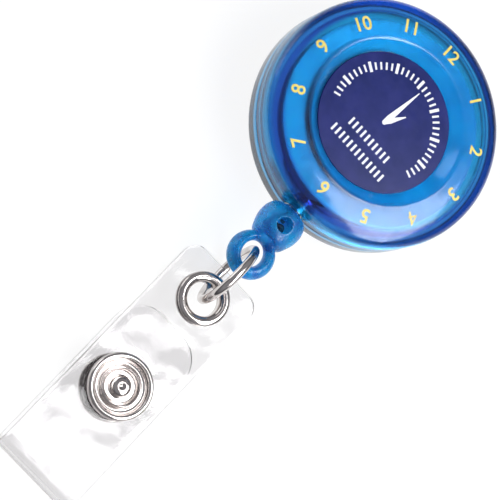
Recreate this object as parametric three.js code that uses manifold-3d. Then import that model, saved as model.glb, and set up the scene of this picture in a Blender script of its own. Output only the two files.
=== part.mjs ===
// Retractable badge reel with a vinyl snap strap.
// Millimetres, +Z up. The reel lies face up on its belt clip. The origin is on the reel's axis, on the
// underside of the clip. 12 o'clock on the dial points along +Y, and the cord leaves along -Y.

import * as THREE from 'three';
import * as BufferGeometryUtils from 'three/addons/utils/BufferGeometryUtils.js';
import Module from 'manifold-3d';

const wasm = await Module();
wasm.setup();

// ---- Driving dimensions ----

// Belt clip: one strip of spring steel, folded round a bend beyond the case's 12 o'clock side
const STEEL = 0.6;
const CLIP_WIDTH = 12;
const CLIP_CORNER_R = 3;
const BEND_R = 1.8;
const BEND_Y = 11.5;
const PLATE_END_Y = -9;
const TONGUE_FLAT_END_Y = -6;
const TONGUE_END_Y = -14;
const TONGUE_TIP_R = 4.5;
const BEND_SLIT_DEG = 18;

// Case: a round reel, 32 across
const CASE_R = 16;
const WALL = 1.2;
const FACE_WALL = 1.0;
const BACK_Z = 2 * BEND_R;
const FLOOR_Z = BACK_Z + WALL;
const CASE_IN_R = CASE_R - WALL;
const EDGE_ROUND = 0.8;
const STEP_R = 15.4;
const STEP_HEIGHT = 0.9;
const STEP_GAP = 0.06;
const SHOULDER_Z = BACK_Z + 6.1;
const CROWN_R = 13.25;
const CROWN_Z = BACK_Z + 8.35;
const LIP_R = 10.05;
const LIP_Z = BACK_Z + 7.85;
const RECESS_R = 9.15;
const LABEL_TOP_Z = BACK_Z + 6.9;
const LABEL_THICK = 0.3;
const LABEL_GAP = 0.1;
const ROOF_Z = LABEL_TOP_Z - LABEL_THICK - FACE_WALL;

// Cord: 0.7 nylon, wound three turns wide and five layers deep
const CORD_R = 0.35;
const CORD_PITCH = 0.75;
const COIL_IN_R = 8.3;
const LAYERS = 5;
const TURNS_PER_LAYER = 3;
const STEPS_PER_TURN = 12;
const CLIMB_TURNS = 1 / 6;
const CORD_SIDES = 6;
const COIL_OUT_R = COIL_IN_R + (LAYERS - 1) * CORD_PITCH;

// Spool, turning on the spindle, with the spring's chamber inside its hub
const SPOOL_CLEARANCE = 0.25;
const SPOOL_HEIGHT = 3.9;
const SPOOL_R = 13.2;
const FLANGE = 0.45;
const HUB_OUT_R = 7.55;
const HUB_IN_R = 7.0;
const SPOOL_Z = FLOOR_Z + SPOOL_CLEARANCE;
const SPOOL_TOP_Z = SPOOL_Z + SPOOL_HEIGHT;
const CORD_Z = SPOOL_Z + SPOOL_HEIGHT / 2;
const SPINDLE_R = 2;
const SPINDLE_SLOT = 0.6;
const BEARING_GAP = 0.15;
const COVER_THICK = 0.25;
const SPRING_THICK = 0.15;
const SPRING_TURNS = 7;

// Rivet that holds the clip to the case
const RIVET_R = 1.1;
const RIVET_HEAD_R = 2.2;
const RIVET_HEAD = 0.55;
const RIVET_INNER_HEAD_R = 1.35;
const RIVET_INNER_HEAD = 0.45;
const HOLE_GAP = 0.1;

// Exit bushing, held between the two halves of the case
const BUSHING_R = 1.5;
const BUSHING_BORE_R = 0.75;
const BUSHING_FLANGE_R = 2.1;
const BUSHING_FLANGE = 0.45;

// Connector: a barrel-shaped neck that holds the cord's knot, then a round eye
const NECK_START = CASE_R + 0.35;
const NECK_END = 21.3;
const NECK_R = 3.05;
const EYE_Y = -23.85;
const EYE_R = 3.15;
const EYE_HALF_HEIGHT = 1.5;
const EYE_HOLE_Y = -23.62;
const EYE_HOLE_R = 1.5;
const EYE_HOLE_STRETCH = 1.2;
const KNOT_Y = -18.9;
const KNOT_R = 0.95;
const KNOT_CHAMBER_R = 1.35;
const CORD_BORE_R = 0.7;

// Jump ring, standing upright across the connector's eye and the strap's eyelet
const WIRE_R = 0.6;
const RING_R = 4.5;
const RING_Y = -27.2;
const RING_Z = 5.3;
const RING_SPLIT_DEG = 3;

// Strap: 12 x 0.6 clear vinyl, folded once, and held closed by a snap
const STRAP_WIDTH = 12;
const VINYL = 0.6;
const STRAP_END_Y = -26.8;
const STRAP_CORNER_R = 2;
const FLAP_END_Y = -35.9;
const FLAP_CORNER_R = 4.2;
const FOLD_Y = -60.6;
const FLAP_Z = 1.2;
const STRAP_Z = 4.0;
const FOLD_Z = (FLAP_Z + STRAP_Z + VINYL) / 2;
const FOLD_OUT_R = FOLD_Z - FLAP_Z;
const FLAP_START_GAP = 1.0;
const EYELET_Y = -31.5;
const EYELET_BARREL_R = 2.5;
const SNAP_Y = -47;
const SNAP_SHANK_R = 0.9;
const CAP_SHANK_R = 1.3;

// ---- Solids ----

function solidOf(geometry) {
  const bare = new THREE.BufferGeometry();
  bare.setAttribute('position', geometry.getAttribute('position').clone());
  if (geometry.index) bare.setIndex(geometry.index.clone());
  const merged = BufferGeometryUtils.mergeVertices(bare, 1e-4);
  const corners = Array.from(merged.index.array);
  const faces = [];
  for (let i = 0; i < corners.length; i += 3) {
    const [a, b, c] = corners.slice(i, i + 3);
    if (a !== b && b !== c && c !== a) faces.push(a, b, c);
  }
  const mesh = new wasm.Mesh({
    numProp: 3,
    vertProperties: new Float32Array(merged.getAttribute('position').array),
    triVerts: new Uint32Array(faces),
  });
  return new wasm.Manifold(mesh);
}

function geometryOf(solid) {
  const mesh = solid.getMesh();
  const geometry = new THREE.BufferGeometry();
  geometry.setAttribute('position', new THREE.BufferAttribute(new Float32Array(mesh.vertProperties), 3));
  geometry.setIndex(new THREE.BufferAttribute(new Uint32Array(mesh.triVerts), 1));
  return geometry;
}

const join = (first, ...others) =>
  geometryOf(others.reduce((whole, other) => whole.add(solidOf(other)), solidOf(first)));

const cut = (first, ...tools) =>
  geometryOf(tools.reduce((whole, tool) => whole.subtract(solidOf(tool)), solidOf(first)));

const trim = (first, other) => geometryOf(solidOf(first).intersect(solidOf(other)));

// Points on an arc, both ends included. Angles are in degrees.
function arc(cx, cy, rx, from, to, steps, ry = rx) {
  return Array.from({ length: steps + 1 }, (_, i) => {
    const angle = THREE.MathUtils.degToRad(from + (to - from) * i / steps);
    return [cx + rx * Math.cos(angle), cy + ry * Math.sin(angle)];
  });
}

const vectors = (points) => points.map(([x, y]) => new THREE.Vector2(x, y));

// A body turned about Z from [radius, z] points, which run upwards on the outer side. The profile
// starts and ends on the axis, or it closes on itself.
function turned(profile, segments) {
  const points = vectors(profile);
  const open = points[0].x > 0;
  if (open) points.push(points[0].clone());
  return new THREE.LatheGeometry(points, segments).rotateX(Math.PI / 2);
}

// The same about the cord's line, where the second number is the distance along -Y.
const turnedOnCord = (profile, segments) =>
  turned(profile, segments).rotateX(Math.PI / 2).translate(0, 0, CORD_Z);

// A round post along Z.
function post(radius, z0, z1, segments) {
  const geometry = new THREE.CylinderGeometry(radius, radius, z1 - z0, segments);
  return geometry.rotateX(Math.PI / 2).translate(0, 0, (z0 + z1) / 2);
}

// A round rod along Y at the cord's height.
function cordRod(radius, y0, y1, segments) {
  const geometry = new THREE.CylinderGeometry(radius, radius, y1 - y0, segments);
  return geometry.translate(0, (y0 + y1) / 2, CORD_Z);
}

// An outline in X and Y, given thickness along Z.
const plate = (outline, z, thickness) =>
  new THREE.ExtrudeGeometry(outline, { depth: thickness, bevelEnabled: false }).translate(0, 0, z);

// A side view of [y, z] points, given width along X.
function strip(sideView, width) {
  const geometry = new THREE.ExtrudeGeometry(new THREE.Shape(sideView), { depth: width, bevelEnabled: false });
  const [x, y, z] = [new THREE.Vector3(1, 0, 0), new THREE.Vector3(0, 1, 0), new THREE.Vector3(0, 0, 1)];
  return geometry.applyMatrix4(new THREE.Matrix4().makeBasis(y, z, x)).translate(-width / 2, 0, 0);
}

// The outline of a strip of even thickness along a flat centreline.
function ribbon(centreline, thickness) {
  const edge = (side) => centreline.map((point, i) => {
    const before = centreline[Math.max(i - 1, 0)];
    const after = centreline[Math.min(i + 1, centreline.length - 1)];
    const along = new THREE.Vector2().subVectors(after, before).normalize();
    return new THREE.Vector2(-along.y, along.x).multiplyScalar(side * thickness / 2).add(point);
  });
  return [...edge(-1), ...edge(1).reverse()];
}

// A rectangle across X from y0 to y1, with round corners of their own radius at each end.
function roundedOutline(width, y0, y1, r0, r1) {
  const half = width / 2;
  const end0 = r0 > 0
    ? [...arc(-half + r0, y0 + r0, r0, 180, 270, 5), ...arc(half - r0, y0 + r0, r0, 270, 360, 5)]
    : [[-half, y0], [half, y0]];
  const end1 = r1 > 0
    ? [...arc(half - r1, y1 - r1, r1, 0, 90, 5), ...arc(-half + r1, y1 - r1, r1, 90, 180, 5)]
    : [[half, y1], [-half, y1]];
  return new THREE.Shape(vectors([...end0, ...end1]));
}

// A round tube along a curve, closed at both ends.
function tube(curve, radius, sides, steps) {
  const section = new THREE.Shape(vectors(arc(0, 0, radius, 0, 360 - 360 / sides, sides - 1)));
  return new THREE.ExtrudeGeometry(section, { steps, extrudePath: curve, bevelEnabled: false });
}

// ---- Case ----

const exitHole = () => cordRod(BUSHING_R + HOLE_GAP, -CASE_R - 1, -CASE_R + 3, 16);

function rearCover() {
  const profile = [
    [0, BACK_Z],
    ...arc(CASE_R - EDGE_ROUND, BACK_Z + EDGE_ROUND, EDGE_ROUND, -90, 0, 3),
    [CASE_R, CORD_Z],
    [STEP_R - STEP_GAP, CORD_Z],
    [STEP_R - STEP_GAP, CORD_Z + STEP_HEIGHT],
    [CASE_IN_R, CORD_Z + STEP_HEIGHT],
    [CASE_IN_R, FLOOR_Z],
    [0, FLOOR_Z],
  ];
  return cut(turned(profile, 48), exitHole(), post(RIVET_R + HOLE_GAP, BACK_Z - 1, FLOOR_Z + 1, 16));
}

// The face from the side wall over the crown to the lip of the recess, as [radius, z] points.
function faceLine() {
  const curve = new THREE.CatmullRomCurve3([
    new THREE.Vector3(CASE_R, SHOULDER_Z, 0),
    new THREE.Vector3(CASE_R - 0.22, SHOULDER_Z + 0.65, 0),
    new THREE.Vector3(CASE_R - 0.85, SHOULDER_Z + 1.3, 0),
    new THREE.Vector3(CASE_R - 1.75, CROWN_Z - 0.33, 0),
    new THREE.Vector3(CROWN_R, CROWN_Z, 0),
    new THREE.Vector3(CROWN_R - 0.95, CROWN_Z - 0.13, 0),
    new THREE.Vector3(LIP_R, LIP_Z, 0),
  ]);
  return curve.getPoints(12).map((point) => [point.x, point.y]);
}

function frontCover() {
  const underStep = CORD_Z + STEP_HEIGHT + STEP_GAP;
  const profile = [
    [0, ROOF_Z],
    [RECESS_R, ROOF_Z],
    [LIP_R + 1, LIP_Z - WALL],
    [CROWN_R, CROWN_Z - WALL],
    [CASE_IN_R - 0.8, CROWN_Z - WALL - 0.6],
    [CASE_IN_R, SHOULDER_Z],
    [CASE_IN_R, underStep],
    [STEP_R, underStep],
    [STEP_R, CORD_Z],
    [CASE_R, CORD_Z],
    ...faceLine(),
    [RECESS_R, LABEL_TOP_Z],
    [RECESS_R, LABEL_TOP_Z - LABEL_THICK],
    [0, LABEL_TOP_Z - LABEL_THICK],
  ];
  return cut(turned(profile, 48), exitHole());
}

const faceLabel = () => post(RECESS_R - LABEL_GAP, LABEL_TOP_Z - LABEL_THICK, LABEL_TOP_Z, 36);

function exitBushing() {
  const inner = CASE_IN_R - 0.25;
  const outer = CASE_R + 0.05;
  return turnedOnCord([
    [BUSHING_BORE_R + 0.6, inner - BUSHING_FLANGE],
    [BUSHING_FLANGE_R, inner - BUSHING_FLANGE],
    [BUSHING_FLANGE_R, inner],
    [BUSHING_R, inner],
    [BUSHING_R, outer],
    [BUSHING_BORE_R + 0.35, outer],
    [BUSHING_BORE_R, outer - 0.35],
    [BUSHING_BORE_R, inner + 0.2],
  ], 16);
}

// ---- Belt clip ----

// The bend's centreline between two angles, seen from the side, as [y, z] points.
const bendLine = (from, to, steps) => vectors(arc(BEND_Y, BEND_R, BEND_R - STEEL / 2, from, to, steps));

// A bent strip of the clip, with its far end rounded in plan.
function clipStrip(centreline, endY, cornerR) {
  const outline = roundedOutline(CLIP_WIDTH, endY, BEND_Y + 2 * BEND_R, cornerR, 0);
  return trim(strip(ribbon(centreline, STEEL), CLIP_WIDTH + 2), plate(outline, -1, BACK_Z + 2));
}

function clipPlate() {
  const middle = BACK_Z - STEEL / 2;
  const flat = [new THREE.Vector2(PLATE_END_Y - 1, middle), new THREE.Vector2(BEND_Y - 0.5, middle)];
  const bent = clipStrip([...flat, ...bendLine(90, 0, 6)], PLATE_END_Y, CLIP_CORNER_R);
  return cut(bent, post(RIVET_R + HOLE_GAP, 0, BACK_Z + 1, 16));
}

// The tongue runs flat under the case, dips towards the plate to grip, and flares at its tip.
function clipTongue() {
  const middle = STEEL / 2;
  const grip = new THREE.CatmullRomCurve3([
    new THREE.Vector3(TONGUE_FLAT_END_Y, middle, 0),
    new THREE.Vector3(-8.5, middle + 0.55, 0),
    new THREE.Vector3(-11, middle + 1.35, 0),
    new THREE.Vector3(-12.5, middle + 1.2, 0),
    new THREE.Vector3(TONGUE_END_Y - 0.5, middle + 0.4, 0),
  ]);
  const line = [
    ...bendLine(-BEND_SLIT_DEG, -90, 5),
    ...grip.getPoints(10).map((point) => new THREE.Vector2(point.x, point.y)),
  ];
  return clipStrip(line, TONGUE_END_Y, TONGUE_TIP_R);
}

function clipRivet() {
  const underPlate = BACK_Z - STEEL;
  return turned([
    [0, underPlate - RIVET_HEAD],
    [RIVET_HEAD_R - 0.6, underPlate - RIVET_HEAD],
    [RIVET_HEAD_R, underPlate - 0.25],
    [RIVET_HEAD_R, underPlate],
    [RIVET_R, underPlate],
    [RIVET_R, FLOOR_Z],
    [RIVET_INNER_HEAD_R, FLOOR_Z],
    [RIVET_INNER_HEAD_R, FLOOR_Z + RIVET_INNER_HEAD - 0.15],
    [RIVET_INNER_HEAD_R - 0.3, FLOOR_Z + RIVET_INNER_HEAD],
    [0, FLOOR_Z + RIVET_INNER_HEAD],
  ], 16);
}

// ---- Spool, spring and cord ----

function spindle() {
  const body = post(SPINDLE_R, FLOOR_Z, ROOF_Z - 0.1, 20);
  const slotHeight = ROOF_Z - SPOOL_Z;
  const slot = new THREE.BoxGeometry(SPINDLE_SLOT, 3 * SPINDLE_R, slotHeight);
  slot.translate(0, 0, SPOOL_Z + COVER_THICK + slotHeight / 2);
  const rivetSeat = post(RIVET_INNER_HEAD_R + HOLE_GAP, FLOOR_Z - 1, FLOOR_Z + RIVET_INNER_HEAD + 0.05, 16);
  return cut(body, slot, rivetSeat);
}

function cordSpool() {
  const bore = SPINDLE_R + BEARING_GAP;
  return turned([
    [HUB_IN_R, SPOOL_Z],
    [SPOOL_R, SPOOL_Z],
    [SPOOL_R, SPOOL_Z + FLANGE],
    [HUB_OUT_R, SPOOL_Z + FLANGE],
    [HUB_OUT_R, SPOOL_TOP_Z - FLANGE],
    [SPOOL_R, SPOOL_TOP_Z - FLANGE],
    [SPOOL_R, SPOOL_TOP_Z],
    [bore, SPOOL_TOP_Z],
    [bore, SPOOL_TOP_Z - FLANGE],
    [HUB_IN_R, SPOOL_TOP_Z - FLANGE],
  ], 36);
}

function springCover() {
  const [bore, rim] = [SPINDLE_R + 2 * BEARING_GAP, HUB_IN_R - 0.06];
  return turned([[bore, SPOOL_Z], [rim, SPOOL_Z], [rim, SPOOL_Z + COVER_THICK], [bore, SPOOL_Z + COVER_THICK]], 30);
}

// A flat spiral from a tab in the spindle's slot out to the hub's wall.
function spiralSpring() {
  const [innerR, outerR] = [SPINDLE_R + 0.4, HUB_IN_R - 0.2];
  const count = SPRING_TURNS * STEPS_PER_TURN;
  const turns = Array.from({ length: count + 1 }, (_, i) => {
    const angle = Math.PI / 2 + 2 * Math.PI * i / STEPS_PER_TURN;
    const radius = innerR + (outerR - innerR) * i / count;
    return new THREE.Vector2(radius * Math.cos(angle), radius * Math.sin(angle));
  });
  const tab = [new THREE.Vector2(0, 0.7), new THREE.Vector2(0, innerR - 0.2)];
  const bottom = SPOOL_Z + COVER_THICK + 0.15;
  const top = SPOOL_TOP_Z - FLANGE - 0.15;
  return plate(new THREE.Shape(ribbon([...tab, ...turns.slice(1)], SPRING_THICK)), bottom, top - bottom);
}

// Where the lead bends into the exit bushing, as [x, y].
const LEAD_BEND = [0.9, -13.6];

// The angle round the spool at which the lead leaves the winding, on a tangent to the bend.
function leadAngle() {
  const [x, y] = LEAD_BEND;
  return Math.atan2(y, x) + Math.acos(COIL_OUT_R / Math.hypot(x, y));
}

// The winding: in each layer the turns cross the spool as a helix, and each layer comes back over the last.
class Winding extends THREE.Curve {
  getPoint(t) {
    const turn = t * LAYERS * TURNS_PER_LAYER;
    const layer = Math.min(Math.floor(turn / TURNS_PER_LAYER), LAYERS - 1);
    const inLayer = turn - layer * TURNS_PER_LAYER;
    const climb = layer > 0 ? Math.min(inLayer / CLIMB_TURNS, 1) - 1 : 0;
    const radius = COIL_IN_R + (layer + climb) * CORD_PITCH;
    const across = (inLayer - TURNS_PER_LAYER / 2) * CORD_PITCH * (layer % 2 === 0 ? 1 : -1);
    const angle = leadAngle() - 2 * Math.PI * turn;
    return new THREE.Vector3(radius * Math.cos(angle), radius * Math.sin(angle), CORD_Z + across);
  }

  getPointAt(u) {
    return this.getPoint(u);
  }

  getTangentAt(u) {
    return this.getTangent(u);
  }
}

const cordCoil = () =>
  tube(new Winding(), CORD_R, CORD_SIDES, LAYERS * TURNS_PER_LAYER * STEPS_PER_TURN);

// From the winding through the exit bushing to the knot.
function cordLead() {
  const angle = leadAngle();
  const leave = new THREE.Vector3(COIL_OUT_R, 0, CORD_Z + TURNS_PER_LAYER / 2 * CORD_PITCH);
  leave.applyAxisAngle(new THREE.Vector3(0, 0, 1), angle);
  const bend = new THREE.Vector3(LEAD_BEND[0], LEAD_BEND[1], CORD_Z);
  // How far along the tangent, and how much of the way down to the exit's height
  const tangent = [[0.08, 0], [0.35, 0], [0.62, 0.12], [0.84, 0.6]].map(([along, down]) => {
    const point = leave.clone().lerp(bend, along);
    return point.setZ(THREE.MathUtils.lerp(leave.z, bend.z, down));
  });
  const route = new THREE.CatmullRomCurve3([
    ...tangent,
    bend,
    new THREE.Vector3(0.3, -14.25, CORD_Z),
    new THREE.Vector3(0.05, -14.95, CORD_Z),
    new THREE.Vector3(0, -15.7, CORD_Z),
    new THREE.Vector3(0, -16.7, CORD_Z),
    new THREE.Vector3(0, KNOT_Y + KNOT_R + 0.1, CORD_Z),
  ], false, 'centripetal');
  return tube(route, CORD_R, 6, 16);
}

const cordKnot = () => new THREE.SphereGeometry(KNOT_R, 10, 6).scale(1.15, 0.95, 1).translate(0, KNOT_Y, CORD_Z);

// ---- Connector and jump ring ----

function endFitting() {
  const neck = turnedOnCord([
    [0, NECK_START],
    [2.2, NECK_START],
    [2.75, NECK_START + 0.5],
    [NECK_R, NECK_START + 1.6],
    [NECK_R - 0.05, NECK_START + 2.8],
    [2.65, NECK_START + 3.9],
    [2.3, NECK_END - 0.3],
    [1.6, NECK_END + 0.2],
    [0, NECK_END + 0.2],
  ], 24);
  const rim = arc(EYE_R - 1.2, 0, 1.2, -90, 90, 6, EYE_HALF_HEIGHT);
  const eye = turned([[0, -EYE_HALF_HEIGHT], ...rim, [0, EYE_HALF_HEIGHT]], 28).translate(0, EYE_Y, CORD_Z);
  const flare = arc(EYE_HOLE_R + 0.7, 0, 0.7, 270, 90, 6, EYE_HALF_HEIGHT);
  const over = EYE_HALF_HEIGHT + 1;
  const holeProfile = [[0, -over], [EYE_HOLE_R + 0.7, -over], ...flare, [EYE_HOLE_R + 0.7, over], [0, over]];
  const hole = turned(holeProfile, 24).scale(1, EYE_HOLE_STRETCH, 1).translate(0, EYE_HOLE_Y, CORD_Z);
  const bore = cordRod(CORD_BORE_R, KNOT_Y, -NECK_START + 1, 12);
  const chamber = new THREE.SphereGeometry(KNOT_CHAMBER_R, 12, 8).translate(0, KNOT_Y, CORD_Z);
  const window = post(1.0, CORD_Z, CORD_Z + NECK_R + 1, 12).translate(0, KNOT_Y, 0);
  return cut(join(neck, eye), hole, bore, chamber, window);
}

// A round wire bent to a ring in the YZ plane, with its joint at the bottom.
class RingLine extends THREE.Curve {
  getPoint(t) {
    const half = THREE.MathUtils.degToRad(RING_SPLIT_DEG) / 2;
    const angle = -Math.PI / 2 + half + t * (2 * Math.PI - 2 * half);
    return new THREE.Vector3(0, RING_R * Math.cos(angle), RING_R * Math.sin(angle));
  }
}

const jumpRing = () => tube(new RingLine(), WIRE_R, 10, 32);

// ---- Strap ----

function strapFront() {
  const outline = roundedOutline(STRAP_WIDTH, FOLD_Y, STRAP_END_Y, 0, STRAP_CORNER_R);
  const outer = arc(FOLD_Y, FOLD_Z, FOLD_OUT_R, 90, 270, 10);
  const inner = arc(FOLD_Y, FOLD_Z, FOLD_OUT_R - VINYL, 270, 90, 10);
  const overlap = FOLD_Y + 0.5;
  const fold = strip(vectors([[overlap, STRAP_Z + VINYL], ...outer, ...inner, [overlap, STRAP_Z]]), STRAP_WIDTH);
  const eyeletHole = post(EYELET_BARREL_R + HOLE_GAP, STRAP_Z - 1, STRAP_Z + 2, 24).translate(0, EYELET_Y, 0);
  const snapHole = post(SNAP_SHANK_R + HOLE_GAP, STRAP_Z - 1, STRAP_Z + 2, 16).translate(0, SNAP_Y, 0);
  return cut(join(plate(outline, STRAP_Z, VINYL), fold), eyeletHole, snapHole);
}

function strapFlap() {
  const outline = roundedOutline(STRAP_WIDTH, FOLD_Y + FLAP_START_GAP, FLAP_END_Y, 0, FLAP_CORNER_R);
  const snapHole = post(CAP_SHANK_R + HOLE_GAP, FLAP_Z - 1, FLAP_Z + 2, 20).translate(0, SNAP_Y, 0);
  return cut(plate(outline, FLAP_Z, VINYL), snapHole);
}

// The eyelet's barrel, its flange on top, and its rolled lower edge under the washer.
function eyelet() {
  const [top, bottom] = [STRAP_Z + VINYL, STRAP_Z - 0.5];
  return turned([
    [2.15, bottom - 0.15],
    [2.4, bottom - 0.3],
    [2.85, bottom - 0.3],
    [3.0, bottom - 0.15],
    [2.85, bottom - 0.05],
    [EYELET_BARREL_R, bottom - 0.05],
    [EYELET_BARREL_R, top],
    [3.3, top],
    [3.45, top + 0.2],
    [3.3, top + 0.48],
    [2.95, top + 0.6],
    [2.55, top + 0.52],
    [2.25, top + 0.25],
    [2.15, top - 0.1],
  ], 24);
}

function eyeletWasher() {
  const [bore, rim, bottom] = [EYELET_BARREL_R + HOLE_GAP, 3.45, STRAP_Z - 0.5];
  return turned([[bore, bottom], [rim - 0.1, bottom], [rim, bottom + 0.1], [rim, STRAP_Z], [bore, STRAP_Z]], 24);
}

// ---- Snap, from the top down ----

function snapRing() {
  const z = STRAP_Z + VINYL;
  return turned([
    [0, STRAP_Z - 0.9],
    [SNAP_SHANK_R, STRAP_Z - 0.9],
    [SNAP_SHANK_R, z],
    [4.0, z],
    [4.25, z + 0.3],
    [4.2, z + 0.65],
    [3.9, z + 0.9],
    [3.55, z + 0.8],
    [3.3, z + 0.4],
    [2.8, z + 0.3],
    [2.62, z + 0.55],
    [2.4, z + 0.75],
    [2.15, z + 0.55],
    [2.0, z + 0.3],
    [1.4, z + 0.3],
    [1.25, z + 0.75],
    [0.95, z + 1.1],
    [0.45, z + 1.2],
    [0.2, z + 1.0],
    [0, z + 1.0],
  ], 24);
}

function snapStud() {
  return turned([
    [0, STRAP_Z - 1.4],
    [1.2, STRAP_Z - 1.4],
    [1.6, STRAP_Z - 1.15],
    [1.45, STRAP_Z - 0.75],
    [1.5, STRAP_Z - 0.45],
    [3.2, STRAP_Z - 0.45],
    [3.2, STRAP_Z],
    [SNAP_SHANK_R + HOLE_GAP, STRAP_Z],
    [SNAP_SHANK_R + HOLE_GAP, STRAP_Z - 1.0],
    [0, STRAP_Z - 1.0],
  ], 20);
}

function snapSocket() {
  const z = FLAP_Z + VINYL;
  return turned([
    [CAP_SHANK_R + HOLE_GAP, z],
    [3.6, z],
    [3.6, z + 1.1],
    [3.3, z + 1.45],
    [2.3, z + 1.45],
    [1.95, z + 1.25],
    [1.95, z + 1.15],
    [2.7, z + 1.15],
    [2.7, z + 0.8],
    [1.95, z + 0.8],
    [1.95, z + 0.45],
    [CAP_SHANK_R + HOLE_GAP, z + 0.45],
  ], 24);
}

// The socket's spring wire: an open ring.
function snapSpring() {
  const line = new THREE.CatmullRomCurve3(
    arc(0, 0, 2.25, 30, 330, 12).map(([x, y]) => new THREE.Vector3(x, y, FLAP_Z + VINYL + 0.975)),
  );
  return tube(line, 0.13, 6, 20);
}

function snapCap() {
  const onFlap = FLAP_Z + VINYL + 0.45;
  return turned([
    [0, 0],
    [2.6, 0],
    [3.6, 0.25],
    [4.2, 0.7],
    [4.3, FLAP_Z - 0.15],
    [4.15, FLAP_Z],
    [CAP_SHANK_R, FLAP_Z],
    [CAP_SHANK_R, onFlap],
    [1.75, onFlap],
    [1.7, onFlap + 0.2],
    [0, onFlap + 0.2],
  ], 24);
}

// ---- Assembly ----

const finish = (color, roughness, metalness) => new THREE.MeshStandardMaterial({ color, roughness, metalness });
const bluePlastic = () => finish(0x1f6fc4, 0.15, 0);
const navyPrint = () => finish(0x232a86, 0.3, 0);
const whitePlastic = () => finish(0xdfe6ee, 0.4, 0);
const nylon = () => finish(0x26262c, 0.7, 0);
const springSteel = () => finish(0x8c9096, 0.35, 1);
const nickel = () => finish(0xd0cdc8, 0.15, 1);
const clearVinyl = () => finish(0xeeeef0, 0.08, 0);

function part(name, geometry, material) {
  const mesh = new THREE.Mesh(geometry, material);
  mesh.name = name;
  return mesh;
}

function placed(y, z, ...parts) {
  const group = new THREE.Group();
  group.position.set(0, y, z);
  group.add(...parts);
  return group;
}

const reel = new THREE.Group();
reel.add(
  part('rear_cover', rearCover(), bluePlastic()),
  part('front_cover', frontCover(), bluePlastic()),
  part('face_label', faceLabel(), navyPrint()),
  part('exit_bushing', exitBushing(), nickel()),
  part('clip_plate', clipPlate(), springSteel()),
  part('clip_tongue', clipTongue(), springSteel()),
  part('clip_rivet', clipRivet(), nickel()),
  part('spindle', spindle(), whitePlastic()),
  part('cord_spool', cordSpool(), whitePlastic()),
  part('spring_cover', springCover(), whitePlastic()),
  part('spiral_spring', spiralSpring(), springSteel()),
  part('cord_coil', cordCoil(), nylon()),
  part('cord_lead', cordLead(), nylon()),
  part('cord_knot', cordKnot(), nylon()),
  part('end_fitting', endFitting(), bluePlastic()),
  placed(RING_Y, RING_Z, part('jump_ring', jumpRing(), nickel())),
  part('strap_front', strapFront(), clearVinyl()),
  part('strap_flap', strapFlap(), clearVinyl()),
  placed(
    EYELET_Y,
    0,
    part('eyelet', eyelet(), nickel()),
    part('eyelet_washer', eyeletWasher(), nickel()),
  ),
  placed(
    SNAP_Y,
    0,
    part('snap_ring', snapRing(), nickel()),
    part('snap_stud', snapStud(), nickel()),
    part('snap_socket', snapSocket(), nickel()),
    part('snap_spring', snapSpring(), springSteel()),
    part('snap_cap', snapCap(), nickel()),
  ),
);

export default reel;
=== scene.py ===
"""Retractable badge reel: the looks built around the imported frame.

Shapes are worked out in millimetres and written to the meshes in metres.
"""
import math

import bmesh
import bpy
from mathutils import Matrix, Vector


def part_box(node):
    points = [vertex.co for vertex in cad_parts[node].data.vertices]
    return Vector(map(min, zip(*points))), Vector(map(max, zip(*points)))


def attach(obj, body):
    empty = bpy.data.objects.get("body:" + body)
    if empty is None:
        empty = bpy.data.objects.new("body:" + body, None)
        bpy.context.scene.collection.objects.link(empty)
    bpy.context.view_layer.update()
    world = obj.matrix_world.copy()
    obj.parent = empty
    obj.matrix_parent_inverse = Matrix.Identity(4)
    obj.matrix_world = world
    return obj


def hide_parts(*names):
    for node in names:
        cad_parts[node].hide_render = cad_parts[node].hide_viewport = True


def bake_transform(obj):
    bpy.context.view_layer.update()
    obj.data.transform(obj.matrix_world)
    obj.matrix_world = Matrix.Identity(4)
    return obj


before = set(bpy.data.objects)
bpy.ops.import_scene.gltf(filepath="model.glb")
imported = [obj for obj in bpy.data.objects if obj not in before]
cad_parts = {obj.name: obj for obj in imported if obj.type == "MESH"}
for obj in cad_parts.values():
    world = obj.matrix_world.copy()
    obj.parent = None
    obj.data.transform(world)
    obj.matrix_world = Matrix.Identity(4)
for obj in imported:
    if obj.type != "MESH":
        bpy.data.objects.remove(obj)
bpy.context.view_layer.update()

MM = 0.001


def extent(node):
    """A CAD node's lowest and highest corner in millimetres."""
    low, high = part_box(node)
    return low / MM, high / MM


# ---- Sizes from the frame ----

back_low = extent("rear_cover")[0]
front_low, front_high = extent("front_cover")
label_low, label_high = extent("face_label")
plate_low, plate_high = extent("clip_plate")
tongue_low = extent("clip_tongue")[0]
rivet_low, rivet_high = extent("clip_rivet")
spool_low, spool_high = extent("cord_spool")
post_low, post_high = extent("spindle")
lid_low, lid_high = extent("spring_cover")
spring_low, spring_high = extent("spiral_spring")
bushing_low, bushing_high = extent("exit_bushing")
fitting_low, fitting_high = extent("end_fitting")
ring_low, ring_high = extent("jump_ring")
strap_low, strap_high = extent("strap_front")
flap_low, flap_high = extent("strap_flap")
eyelet_low, eyelet_high = extent("eyelet")
washer_high = extent("eyelet_washer")[1]
snap_low, snap_high = extent("snap_ring")
stud_low, stud_high = extent("snap_stud")
socket_low, socket_high = extent("snap_socket")
wire_low, wire_high = extent("snap_spring")
cap_low, cap_high = extent("snap_cap")

CASE_R = front_high.x
BACK_Z = back_low.z
PARTING_Z = front_low.z
CROWN_Z = front_high.z
LABEL_Z = label_high.z
LABEL_R = label_high.x
CORD_Z = (spool_low.z + spool_high.z) / 2

# ---- Sizes of its own, in millimetres ----

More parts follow.
